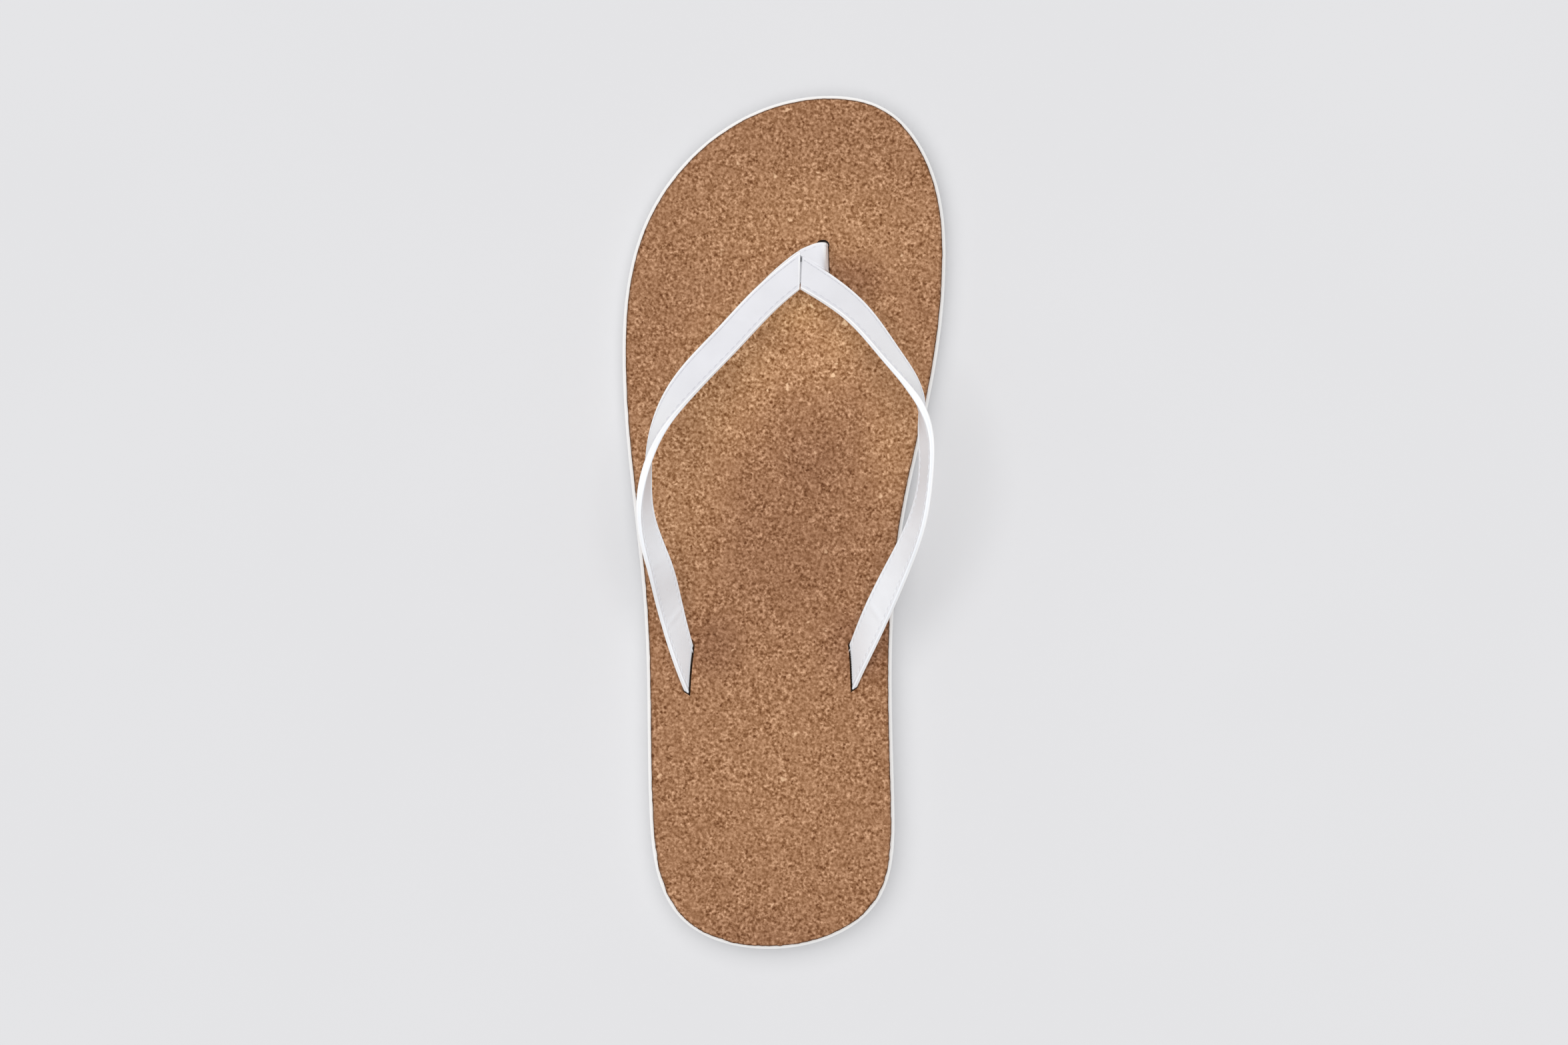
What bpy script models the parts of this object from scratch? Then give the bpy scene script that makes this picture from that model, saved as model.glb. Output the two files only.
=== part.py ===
"""Left cork flip-flop: a foam sole, a cork footbed on it and one set of joined straps.

Tables are in millimetres and the scene in metres. +Y points to the toe, +X to the big toe's
side and +Z up. The sole stands on z = 0, with the origin under the middle of its outline.
"""

import bmesh
import bpy
import numpy as np

MM = 0.001
WELD = 0.00001
SHARP_ANGLE = np.radians(30)
GAP = 0.3

# Outline of the cork, clockwise from the toe.
OUTLINE = (
    # place, x, y
    ("toe tip", 12.0, 127.5),
    ("big toe", 30.5, 123.6),
    ("big toe side", 42.6, 109.0),
    ("inner ball", 47.7, 76.0),
    ("behind the inner ball", 43.0, 38.0),
    ("arch", 35.6, 4.0),
    ("inner waist", 31.6, -36.0),
    ("inner heel", 32.2, -84.0),
    ("inner heel corner", 27.5, -113.5),
    ("heel", -6.0, -127.5),
    ("outer heel corner", -30.7, -118.3),
    ("outer heel", -39.6, -84.0),
    ("outer waist", -41.0, -28.0),
    ("outer ball", -47.7, 48.0),
    ("little toe", -40.3, 91.8),
    ("fourth toe", -18.5, 117.2),
)
OUTLINE_POINTS = 120

# The sole stands proud of the cork all round, and has rounded edges.
SOLE_MARGIN = 1.1
SOLE_ROUNDING = 1.0
CORK_THICKNESS = 2.7

# Side profile of the sole, by the distance from the middle towards the toe.
HEEL_THICKNESS = 15.0
BALL_THICKNESS = 11.0
TOE_THICKNESS = 9.6
HEEL_ENDS = -75.0
BALL_STARTS = 38.0
TOE_STARTS = 66.0
TOE_TIP = 128.6
TOE_SPRING = 6.5
HEEL_TURNS_UP = -112.0
HEEL_TIP = -128.6
HEEL_LIFT = 1.2
ARCH_RISE = 1.0
ARCH_FROM = -30.0
ARCH_TO = 26.0
STATION_STEP = 6.0

# Straps: flat bands, listed from the crossing back to the slots. Tilt turns a band about its
# own run: 0 lies flat, and 90 or -90 stands on edge.
STRAP_WIDTH = 9.6
STRAP_THICKNESS = 1.5
BAND_CHAMFER = 0.4
STRAP_POINTS = 76
OUTER_STRAP = (
    # x, y, z, tilt
    (12.0, 80.8, 24.9, 18),
    (-5.5, 66.6, 31.9, 24),
    (-16.9, 54.4, 36.6, 26),
    (-28.6, 41.6, 41.0, 33),
    (-36.2, 29.8, 44.5, 62),
    (-40.6, 16.2, 47.5, 93),
    (-41.0, 1.8, 46.5, 116),
    (-37.1, -12.8, 39.4, 135),
    (-34.3, -24.3, 27.9, 137),
    (-29.5, -42.1, 17.8, 130),
    (-25.8, -52.4, 11.0, 127),
)
INNER_STRAP = (
    # x, y, z, tilt
    (-1.0, 78.7, 25.9, -18),
    (8.5, 72.6, 28.9, -27),
    (21.1, 63.1, 32.5, -40),
    (32.0, 49.6, 36.4, -55),
    (39.8, 37.6, 40.0, -77),
    (41.9, 27.4, 43.0, -106),
    (42.0, 14.8, 44.5, -109),
    (39.4, 0.2, 42.0, -118),
    (33.8, -13.7, 35.3, -133),
    (26.9, -28.9, 26.5, -141),
    (21.7, -41.3, 17.9, -131),
    (17.7, -50.6, 11.6, -131),
)
# The outer strap's top layer is cut square across the shoe here, over the inner strap.
SEAM_X = 4.75
# The inner strap ends under the outer one, this far behind that one's front edge.
TUCK = 1.2

# Toe post: the outer strap's lower layer, which leaves it near the crossing and bends down
# between the toes.
POST_WIDTH = 8.7
POST_THICKNESS = 1.8
POST_POINTS = 26
TOE_POST = (
    # x, y, z, tilt
    (-9.1, 63.4, 32.7, -24),
    (-5.8, 66.8, 31.3, -24),
    (-1.1, 71.6, 29.1, -24),
    (3.3, 75.5, 27.3, -24),
    (7.1, 78.0, 25.9, -21),
    (10.1, 79.2, 24.3, -12),
    (11.5, 79.6, 21.3, -4),
    (12.2, 79.6, 17.0, -2),
    (13.3, 79.6, 6.0, -2),
)

# Pockets in cork and foam that hold the strap ends, along the last points of each path.
POCKET_DEEPER = 1.2
STRAP_POCKET_POINTS = 12
POST_POCKET_POINTS = 11


def cubic_through(rows, count, closed=False):
    """Points on the cubic spline through the rows, at even steps of the rows' distances."""
    rows = np.array(rows, float)
    last = len(rows) if closed else len(rows) - 1
    after = np.arange(1, last + 1) % len(rows)
    steps = rows[after] - rows[:last]
    spans = np.linalg.norm(steps[:, :3], axis=1)
    slopes = steps / spans[:, None]
    system = np.eye(len(rows))
    bends = np.zeros_like(rows)
    for row in range(0 if closed else 1, last):
        before = row - 1
        system[row] = 0
        system[row, before] += spans[before]
        system[row, row] += 2 * (spans[before] + spans[row])
        system[row, after[row]] += spans[row]
        bends[row] = 6 * (slopes[row] - slopes[before])
    bends = np.linalg.solve(system, bends)
    knots = np.concatenate([[0], np.cumsum(spans)])
    places = np.linspace(0, knots[-1], count, endpoint=not closed)
    left = np.clip(np.searchsorted(knots, places, side="right") - 1, 0, last - 1)
    right = after[left]
    span = spans[left][:, None]
    to_go = (knots[left + 1] - places)[:, None]
    gone = (places - knots[left])[:, None]
    curved = (bends[left] * to_go**3 + bends[right] * gone**3) / (6 * span)
    start = (rows[left] / span - bends[left] * span / 6) * to_go
    end = (rows[right] / span - bends[right] * span / 6) * gone
    return curved + start + end


def unit(vectors):
    return vectors / np.linalg.norm(vectors, axis=-1, keepdims=True)


def outline(margin=0.0):
    """The cork's outline, moved outwards by a margin."""
    points = cubic_through([row[1:] for row in OUTLINE], OUTLINE_POINTS, closed=True)
    points -= (points.min(axis=0) + points.max(axis=0)) / 2
    along = unit(np.roll(points, -1, axis=0) - np.roll(points, 1, axis=0))
    outwards = np.stack([-along[:, 1], along[:, 0]], axis=1)
    return points + outwards * margin


def ease(value, start, end):
    """0 before start, 1 after end, and a smooth step between."""
    part = np.clip((value - start) / (end - start), 0, 1)
    return part * part * (3 - 2 * part)


def ramp(value, start, end):
    return np.clip((value - start) / (end - start), 0, 1)


def toe_spring(y):
    return TOE_SPRING * ramp(y, TOE_STARTS, TOE_TIP) ** 2


def sole_bottom(y):
    """Height of the sole's underside: flat under heel and ball, up at the toe and heel tips."""
    heel = HEEL_LIFT * ramp(y, HEEL_TURNS_UP, HEEL_TIP) ** 2
    arch = ARCH_RISE * np.sin(np.pi * ramp(y, ARCH_FROM, ARCH_TO)) ** 2
    return toe_spring(y) + heel + arch


def sole_top(y):
    """Height of the sole's upper face, which thins from the heel to the ball and the toe."""
    to_ball = (HEEL_THICKNESS - BALL_THICKNESS) * ease(y, HEEL_ENDS, BALL_STARTS)
    to_toe = (BALL_THICKNESS - TOE_THICKNESS) * ease(y, TOE_STARTS, TOE_TIP)
    return HEEL_THICKNESS - to_ball - to_toe + toe_spring(y)


def cork_bottom(y):
    return sole_top(y) + GAP


def cork_top(y):
    return cork_bottom(y) + CORK_THICKNESS


def collection(name):
    made = bpy.data.collections.new(name)
    bpy.context.scene.collection.children.link(made)
    return made


def material(name, colour, roughness):
    made = bpy.data.materials.new(name)
    made.use_nodes = True
    shader = made.node_tree.nodes["Principled BSDF"]
    shader.inputs["Base Color"].default_value = (*colour, 1)
    shader.inputs["Roughness"].default_value = roughness
    shader.inputs["Metallic"].default_value = 0
    return made


def add_part(name, mesh, home, finish):
    made = bpy.data.objects.new(name, mesh)
    home.objects.link(made)
    mesh.materials.append(finish)
    return made


def add_helper(name, mesh, home):
    """A shape that the parts are cut or joined with."""
    made = bpy.data.objects.new(name, mesh)
    home.objects.link(made)
    made.hide_render = True
    made.display_type = "WIRE"
    return made


def add_boolean(target, other, operation):
    modifier = target.modifiers.new(f"{operation.lower()} {other.name}", "BOOLEAN")
    modifier.operation = operation
    modifier.object = other
    modifier.solver = "EXACT"


def add_line(curve, points, closed):
    """A polyline through points given as rows of x, y and, on a band's path, z and tilt."""
    line = curve.splines.new("POLY")
    line.points.add(len(points) - 1)
    line.use_cyclic_u = closed
    for point, row in zip(line.points, points):
        x, y, z, tilt = (*row, 0, 0)[:4]
        point.co = (x * MM, y * MM, z * MM, 1)
        point.tilt = np.radians(tilt)


def solid_of(curve):
    """A bmesh of a filled curve, with its loose caps welded on and its faces outwards."""
    guide = bpy.data.objects.new(curve.name, curve)
    bpy.context.scene.collection.objects.link(guide)
    graph = bpy.context.evaluated_depsgraph_get()
    mesh = bpy.data.meshes.new_from_object(guide.evaluated_get(graph))
    bpy.data.objects.remove(guide)
    shape = bmesh.new()
    shape.from_mesh(mesh)
    bpy.data.meshes.remove(mesh)
    bmesh.ops.remove_doubles(shape, verts=shape.verts, dist=WELD)
    bmesh.ops.recalc_face_normals(shape, faces=shape.faces)
    return shape


def mesh_of(name, shape, smooth=True):
    mesh = bpy.data.meshes.new(name)
    shape.to_mesh(mesh)
    shape.free()
    if smooth:
        mesh.shade_smooth()
        mesh.set_sharp_from_angle(angle=SHARP_ANGLE)
    return mesh


def bisect(shape, place, direction, **options):
    everything = shape.verts[:] + shape.edges[:] + shape.faces[:]
    cut = bmesh.ops.bisect_plane(
        shape, geom=everything, plane_co=np.array(place) * MM, plane_no=direction, **options
    )
    return cut["geom_cut"]


def plate(name, margin, thickness, rounding, bottom, top):
    """A plate of the outline that follows the side profile, and is level across the shoe."""
    curve = bpy.data.curves.new(name, "CURVE")
    curve.dimensions = "2D"
    curve.fill_mode = "BOTH"
    curve.extrude = (thickness / 2 - rounding) * MM
    curve.bevel_depth = rounding * MM
    curve.bevel_resolution = 1
    curve.offset = -rounding * MM
    points = outline(margin)
    add_line(curve, points, closed=True)
    shape = solid_of(curve)
    for y in np.arange(points[:, 1].min() + STATION_STEP / 2, points[:, 1].max(), STATION_STEP):
        bisect(shape, (0, y, 0), (0, 1, 0))
    for vert in shape.verts:
        y = vert.co.y / MM
        low, high = bottom(y), top(y)
        vert.co.z = (low + (high - low) * (vert.co.z / MM / thickness + 0.5)) * MM
    return mesh_of(name, shape)


def band(name, path, width, thickness):
    """A flat band along a path: a rectangle with its corners cut, which turns with the tilt."""
    wide, thick = width / 2, thickness / 2
    cut_wide, cut_thick = wide - BAND_CHAMFER, thick - BAND_CHAMFER
    corners = [(wide, cut_thick), (cut_wide, thick), (-cut_wide, thick), (-wide, cut_thick)]
    corners += [(-x, -y) for x, y in corners]
    section = bpy.data.curves.new("section", "CURVE")
    add_line(section, corners, closed=True)
    section_object = bpy.data.objects.new("section", section)
    curve = bpy.data.curves.new(name, "CURVE")
    curve.dimensions = "3D"
    curve.twist_mode = "Z_UP"
    curve.bevel_mode = "OBJECT"
    curve.bevel_object = section_object
    curve.use_fill_caps = True
    add_line(curve, path, closed=False)
    shape = solid_of(curve)
    bpy.data.objects.remove(section_object)
    return shape


def cut_end(shape, place, direction):
    """Cuts off what lies beyond a place in a direction, and closes the cut."""
    rim = bisect(shape, place, direction, clear_outer=True)
    bmesh.ops.contextual_create(shape, geom=rim)
    return shape


def pocket(name, path, width, thickness):
    """The space round the end of a band's path: the band, its clearance and some depth."""
    floor = path[-1].copy()
    floor[:3] += unit(path[-1, :3] - path[-2, :3]) * POCKET_DEEPER
    shape = band(name, np.vstack([path, floor]), width + 2 * GAP, thickness + 2 * GAP)
    return mesh_of(name, shape, smooth=False)


def add_upper(home, helpers, finish):
    """The two straps and the toe post as one solid. Returns the pockets for their three ends."""
    outer = cubic_through(OUTER_STRAP, STRAP_POINTS)
    inner = cubic_through(INNER_STRAP, STRAP_POINTS)
    post = cubic_through(TOE_POST, POST_POINTS)
    strap_size = (STRAP_WIDTH, STRAP_THICKNESS)
    post_size = (POST_WIDTH, POST_THICKNESS)

    shape = cut_end(band("outer strap", outer, *strap_size), (SEAM_X, 0, 0), (1, 0, 0))
    upper = add_part("upper", mesh_of("upper", shape), home, finish)

    run = outer[0] - outer[1]
    forwards = unit(np.array((-run[1], run[0], 0)))
    tuck = outer[0, :3] + forwards * (STRAP_WIDTH / 2 * np.cos(np.radians(outer[0, 3])) - TUCK)
    shape = cut_end(band("inner strap", inner, *strap_size), tuck, forwards)
    for name, solid in (("inner strap", shape), ("toe post", band("toe post", post, *post_size))):
        add_boolean(upper, add_helper(name, mesh_of(name, solid), helpers), "UNION")

    ends = (
        ("outer pocket", outer[-STRAP_POCKET_POINTS:], strap_size),
        ("inner pocket", inner[-STRAP_POCKET_POINTS:], strap_size),
        ("toe pocket", post[-POST_POCKET_POINTS:], post_size),
    )
    return [add_helper(name, pocket(name, end, *size), helpers) for name, end, size in ends]


def main():
    for old in list(bpy.data.objects):
        bpy.data.objects.remove(old)
    parts, helpers = collection("cork flip-flop"), collection("helpers")
    foam = material("white foam", (0.80, 0.80, 0.79), 0.6)
    cork = material("cork", (0.39, 0.20, 0.10), 0.85)
    leather = material("white leather", (0.80, 0.80, 0.82), 0.45)

    mesh = plate("sole", SOLE_MARGIN, HEEL_THICKNESS, SOLE_ROUNDING, sole_bottom, sole_top)
    sole = add_part("sole", mesh, parts, foam)
    mesh = plate("footbed", 0, CORK_THICKNESS, 0, cork_bottom, cork_top)
    footbed = add_part("footbed", mesh, parts, cork)
    for end_pocket in add_upper(parts, helpers, leather):
        add_boolean(sole, end_pocket, "DIFFERENCE")
        add_boolean(footbed, end_pocket, "DIFFERENCE")


main()
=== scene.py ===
"""Looks of a left cork flip-flop: white foam sole, pressed-cork footbed, stitched white straps.

Tables are in millimetres and the scene in metres. +Y points to the toe, +X to the big toe's
side and +Z up, with the sole standing on z = 0.
"""

import bpy
import numpy as np
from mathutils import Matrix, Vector


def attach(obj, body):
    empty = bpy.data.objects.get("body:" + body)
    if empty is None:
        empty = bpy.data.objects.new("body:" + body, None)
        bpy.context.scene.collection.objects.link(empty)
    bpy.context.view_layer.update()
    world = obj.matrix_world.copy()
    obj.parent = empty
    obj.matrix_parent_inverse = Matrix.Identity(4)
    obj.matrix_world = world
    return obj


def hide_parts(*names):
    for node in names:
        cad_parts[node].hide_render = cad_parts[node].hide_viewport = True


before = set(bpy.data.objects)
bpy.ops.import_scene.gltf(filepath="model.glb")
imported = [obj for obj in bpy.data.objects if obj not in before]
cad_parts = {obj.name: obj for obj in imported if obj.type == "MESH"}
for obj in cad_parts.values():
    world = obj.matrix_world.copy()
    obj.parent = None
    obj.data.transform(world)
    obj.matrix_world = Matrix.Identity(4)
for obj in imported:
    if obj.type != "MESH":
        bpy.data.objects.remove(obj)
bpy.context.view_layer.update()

MM = 0.001

# ---- Sizes ----

# Outline of the cork, clockwise from the toe, and how far the foam stands proud of it.
OUTLINE = (
    # place, x, y
    ("toe tip", 12.0, 127.5),
    ("big toe", 30.5, 123.6),
    ("big toe side", 42.6, 109.0),
    ("inner ball", 47.7, 76.0),
    ("behind the inner ball", 43.0, 38.0),
    ("arch", 35.6, 4.0),
    ("inner waist", 31.6, -36.0),
    ("inner heel", 32.2, -84.0),
    ("inner heel corner", 27.5, -113.5),
    ("heel", -6.0, -127.5),
    ("outer heel corner", -30.7, -118.3),
    ("outer heel", -39.6, -84.0),
    ("outer waist", -41.0, -28.0),
    ("outer ball", -47.7, 48.0),
    ("little toe", -40.3, 91.8),
    ("fourth toe", -18.5, 117.2),
)
SOLE_MARGIN = 1.1
CORK_THICKNESS = 2.7
LAYER_GAP = 0.3

# Side profile of the sole, by the distance from the middle towards the toe.
HEEL_THICKNESS = 15.0
BALL_THICKNESS = 11.0
TOE_THICKNESS = 9.6
HEEL_ENDS = -75.0
BALL_STARTS = 38.0
TOE_STARTS = 66.0
TOE_TIP = 128.6
TOE_SPRING = 6.5
HEEL_TURNS_UP = -112.0
HEEL_TIP = -128.6
HEEL_LIFT = 1.2
ARCH_RISE = 1.0
ARCH_FROM = -30.0
ARCH_TO = 26.0

# Straps: flat bands, listed from the crossing back to the slots. Tilt turns a band about its
# own run: 0 lies flat, and 90 or -90 stands on edge.
STRAP_WIDTH = 9.6
STRAP_THICKNESS = 1.5
OUTER_STRAP = (
    # x, y, z, tilt
    (12.0, 80.8, 24.9, 18),
    (-5.5, 66.6, 31.9, 24),
    (-16.9, 54.4, 36.6, 26),
    (-28.6, 41.6, 41.0, 33),
    (-36.2, 29.8, 44.5, 62),
    (-40.6, 16.2, 47.5, 93),
    (-41.0, 1.8, 46.5, 116),
    (-37.1, -12.8, 39.4, 135),
    (-34.3, -24.3, 27.9, 137),
    (-29.5, -42.1, 17.8, 130),
    (-25.8, -52.4, 11.0, 127),
)
INNER_STRAP = (
    # x, y, z, tilt
    (-1.0, 78.7, 25.9, -18),
    (8.5, 72.6, 28.9, -27),
    (21.1, 63.1, 32.5, -40),
    (32.0, 49.6, 36.4, -55),
    (39.8, 37.6, 40.0, -77),
    (41.9, 27.4, 43.0, -106),
    (42.0, 14.8, 44.5, -109),
    (39.4, 0.2, 42.0, -118),
    (33.8, -13.7, 35.3, -133),
    (26.9, -28.9, 26.5, -141),
    (21.7, -41.3, 17.9, -131),
    (17.7, -50.6, 11.6, -131),
)
SEAM_X = 4.75
POST_WIDTH = 8.7
POST_THICKNESS = 1.8
TOE_POST = (
    # x, y, z, tilt
    (-9.1, 63.4, 32.7, -24),
    (-5.8, 66.8, 31.3, -24),
    (-1.1, 71.6, 29.1, -24),
    (3.3, 75.5, 27.3, -24),
    (7.1, 78.2, 26.0, -24),
    (9.3, 79.1, 25.4, -20),
    (10.7, 79.5, 24.9, -12),
    (11.5, 79.6, 24.2, -5),
    (11.9, 79.6, 23.2, -3),
    (12.1, 79.6, 22.0, -2),
    (12.3, 79.6, 19.5, -2),
    (12.5, 79.6, 16.0, -2),
    (12.7, 79.6, 11.5, -2),
    (12.9, 79.6, 6.0, -2),
)


# ---- Curves and profiles ----


def cubic_through(rows, closed=False):
    """A function of 0 to 1: the cubic spline through the rows, paced by their distances.

    The bends, its second derivatives at the rows, make the slopes meet there. An open curve has
    no bend at its two ends.
    """
    rows = np.array(rows, float)
    last = len(rows) if closed else len(rows) - 1
    after = np.arange(1, last + 1) % len(rows)
    steps = rows[after] - rows[:last]
    spans = np.linalg.norm(steps[:, :3], axis=1)
    slopes = steps / spans[:, None]
    system = np.eye(len(rows))
    bends = np.zeros_like(rows)
    for row in range(0 if closed else 1, last):
        before = row - 1
        system[row] = 0
        system[row, before] += spans[before]
        system[row, row] += 2 * (spans[before] + spans[row])
        system[row, after[row]] += spans[row]
        bends[row] = 6 * (slopes[row] - slopes[before])
    bends = np.linalg.solve(system, bends)
    knots = np.concatenate([[0], np.cumsum(spans)])

    def at(part):
        """Each span's cubic, from its two ends' values and bends."""
        places = np.asarray(part, float) * knots[-1]
        left = np.clip(np.searchsorted(knots, places, side="right") - 1, 0, last - 1)
        right = after[left]
        span = spans[left][..., None]
        to_go = (knots[left + 1] - places)[..., None]
        gone = (places - knots[left])[..., None]
        curved = (bends[left] * to_go**3 + bends[right] * gone**3) / (6 * span)
        start = (rows[left] / span - bends[left] * span / 6) * to_go
        end = (rows[right] / span - bends[right] * span / 6) * gone
        return curved + start + end

    return at


def unit(vectors):
    """Vectors divided by their own lengths."""
    return vectors / np.linalg.norm(vectors, axis=-1, keepdims=True)


def ramp(value, start, end):
    """From 0 at the start to 1 at the end in a straight line, and level past both."""
    return np.clip((value - start) / (end - start), 0, 1)


def ease(value, start, end):
    """The ramp with both its ends smoothed: three times its square, less twice its cube."""
    part = ramp(value, start, end)
    return part * part * (3 - 2 * part)


def bell(value, middle, reach):
    """A smooth hump, 1 at its middle: e to minus the square of the distance over the reach."""
    return np.exp(-(((value - middle) / reach) ** 2))


def toe_spring(y):
    """How far the toe turns up: the square of the way from where it starts to the tip."""
    return TOE_SPRING * ramp(y, TOE_STARTS, TOE_TIP) ** 2


def sole_bottom(y):
    """Flat under heel and ball, with a low arch between them, and up at the toe and heel tips."""
    heel = HEEL_LIFT * ramp(y, HEEL_TURNS_UP, HEEL_TIP) ** 2
    arch = ARCH_RISE * np.sin(np.pi * ramp(y, ARCH_FROM, ARCH_TO)) ** 2
    return toe_spring(y) + heel + arch


def sole_top(y):
    """The heel's thickness, eased down to the ball's and then the toe's, plus the toe spring."""
    to_ball = (HEEL_THICKNESS - BALL_THICKNESS) * ease(y, HEEL_ENDS, BALL_STARTS)
    to_toe = (BALL_THICKNESS - TOE_THICKNESS) * ease(y, TOE_STARTS, TOE_TIP)
    return HEEL_THICKNESS - to_ball - to_toe + toe_spring(y)


def cork_top(y):
    """The sole's top, plus the gap under the cork and the cork's own thickness."""
    return sole_top(y) + LAYER_GAP + CORK_THICKNESS


# ---- Meshes ----

SHARP_ANGLE = np.radians(40)
NOISE_SQUARES = 64


def add_object(name, data):
    """A new object in the scene, at the origin and unturned."""
    made = bpy.data.objects.new(name, data)
    bpy.context.scene.collection.objects.link(made)
    return made


def add_piece(name, points, faces, finish, nodes=(), attributes=None):
    """A piece on the frame's one body, from points in millimetres and arrays of faces.

    Attributes are three values for each point, which its material reads.
    """
    mesh = bpy.data.meshes.new(name)
    corners = np.concatenate([block.ravel() for block in faces])
    sizes = np.concatenate([np.full(len(block), block.shape[1]) for block in faces])
    mesh.vertices.add(len(points))
    mesh.vertices.foreach_set("co", (points * MM).astype(np.float32).ravel())
    mesh.loops.add(len(corners))
    mesh.loops.foreach_set("vertex_index", corners.astype(np.int32))
    mesh.polygons.add(len(sizes))
    mesh.polygons.foreach_set("loop_start", (np.cumsum(sizes) - sizes).astype(np.int32))
    mesh.update(calc_edges=True)
    for key, values in (attributes or {}).items():
        layer = mesh.attributes.new(key, "FLOAT_VECTOR", "POINT")
        layer.data.foreach_set("vector", values.astype(np.float32).ravel())
    mesh.shade_smooth()
    mesh.set_sharp_from_angle(angle=SHARP_ANGLE)
    mesh.materials.append(finish)
    piece = add_object(name, mesh)
    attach(piece, "root")
    if nodes:
        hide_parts(*nodes)
    return piece


def grid_faces(index):
    """Four-sided faces between neighbours on a grid of point numbers."""
    quads = np.stack([index[:-1, :-1], index[:-1, 1:], index[1:, 1:], index[1:, :-1]], axis=-1)
    return quads.reshape(-1, 4)


def tube_faces(rows, columns):
    """Faces of a tube whose rings of points are stored row by row."""
    index = np.arange(rows * columns).reshape(rows, columns)
    return grid_faces(np.hstack([index, index[:, :1]]))


def cut_with(piece, cutters):
    """Cuts the cutters out of a piece's mesh for good."""
    for cutter in cutters:
        modifier = piece.modifiers.new(f"cut {cutter.name}", "BOOLEAN")
        modifier.operation = "DIFFERENCE"
        modifier.solver = "MANIFOLD"
        modifier.object = cutter
    graph = bpy.context.evaluated_depsgraph_get()
    mesh = bpy.data.meshes.new_from_object(piece.evaluated_get(graph), depsgraph=graph)
    piece.modifiers.clear()
    mesh.name = piece.name
    piece.data = mesh


def value_noise(x, y, size, seed):
    """Smooth noise from 0 to 1: random heights on a square lattice, eased between neighbours."""
    table = np.random.default_rng(seed).random((NOISE_SQUARES, NOISE_SQUARES))
    column, row = np.floor(x / size).astype(int), np.floor(y / size).astype(int)
    right, up = ease(x / size - column, 0, 1), ease(y / size - row, 0, 1)
    near, far = (
        table[column % NOISE_SQUARES, line] * (1 - right)
        + table[(column + 1) % NOISE_SQUARES, line] * right
        for line in (row % NOISE_SQUARES, (row + 1) % NOISE_SQUARES)
    )
    return near + (far - near) * up


def granule_noise(x, y, size, seed):
    """Pressed granules: one jittered seed in each square, and each point takes its nearest seed.

    Returns that seed's random height, and how much nearer it is than the next one.
    """
    random = np.random.default_rng(seed).random((3, NOISE_SQUARES, NOISE_SQUARES))
    column, row = np.floor(x / size).astype(int), np.floor(y / size).astype(int)
    nearest = np.full(x.shape, np.inf)
    second = nearest.copy()
    height = np.zeros(x.shape)
    for right in (-1, 0, 1):
        for up in (-1, 0, 1):
            square = (column + right) % NOISE_SQUARES, (row + up) % NOISE_SQUARES
            seed_x = column + right + random[0][square]
            seed_y = row + up + random[1][square]
            distance = np.hypot(x / size - seed_x, y / size - seed_y)
            closer = distance < nearest
            second = np.minimum(second, np.where(closer, nearest, distance))
            height = np.where(closer, random[2][square], height)
            nearest = np.where(closer, distance, nearest)
    return height, second - nearest


# ---- Sole and footbed ----

# Both are built in rows across the shoe, which lie closer together near its two tips. They
# meet the outline between its samples.
SHOE_ROWS = 640
OUTLINE_SAMPLES = 6000

# The least distance from the edge, so that nothing is divided by 0 there.
LEAST_DISTANCE = 0.01


def outline_loop(margin, wobble=None):
    """The outline as one loop, up the inner side and down the outer, moved out by a margin.

    Every row across the shoe has one point on each side, so that the loop can be filled by rows.
    """
    curve = cubic_through([row[1:] for row in OUTLINE], closed=True)
    fine = curve(np.linspace(0, 1, OUTLINE_SAMPLES, endpoint=False))
    fine -= (fine.min(axis=0) + fine.max(axis=0)) / 2
    toe, heel = fine[:, 1].argmax(), fine[:, 1].argmin()
    inner = np.roll(fine, -toe, axis=0)[: (heel - toe) % len(fine) + 1][::-1]
    outer = np.roll(fine, -heel, axis=0)[: (toe - heel) % len(fine) + 1]
    spacing = (1 - np.cos(np.linspace(0, np.pi, SHOE_ROWS + 1))) / 2
    y = fine[heel, 1] + (fine[toe, 1] - fine[heel, 1]) * spacing
    inner = np.stack([np.interp(y, inner[:, 1], inner[:, 0]), y], axis=1)
    outer = np.stack([np.interp(y, outer[:, 1], outer[:, 0]), y], axis=1)
    loop = np.concatenate([inner, outer[-2:0:-1]])
    along = unit(np.roll(loop, -1, axis=0) - np.roll(loop, 1, axis=0))
    outwards = np.stack([along[:, 1], -along[:, 0]], axis=1)
    if wobble is not None:
        margin = margin + wobble(loop)[:, None]
    return loop + outwards * margin


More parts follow.
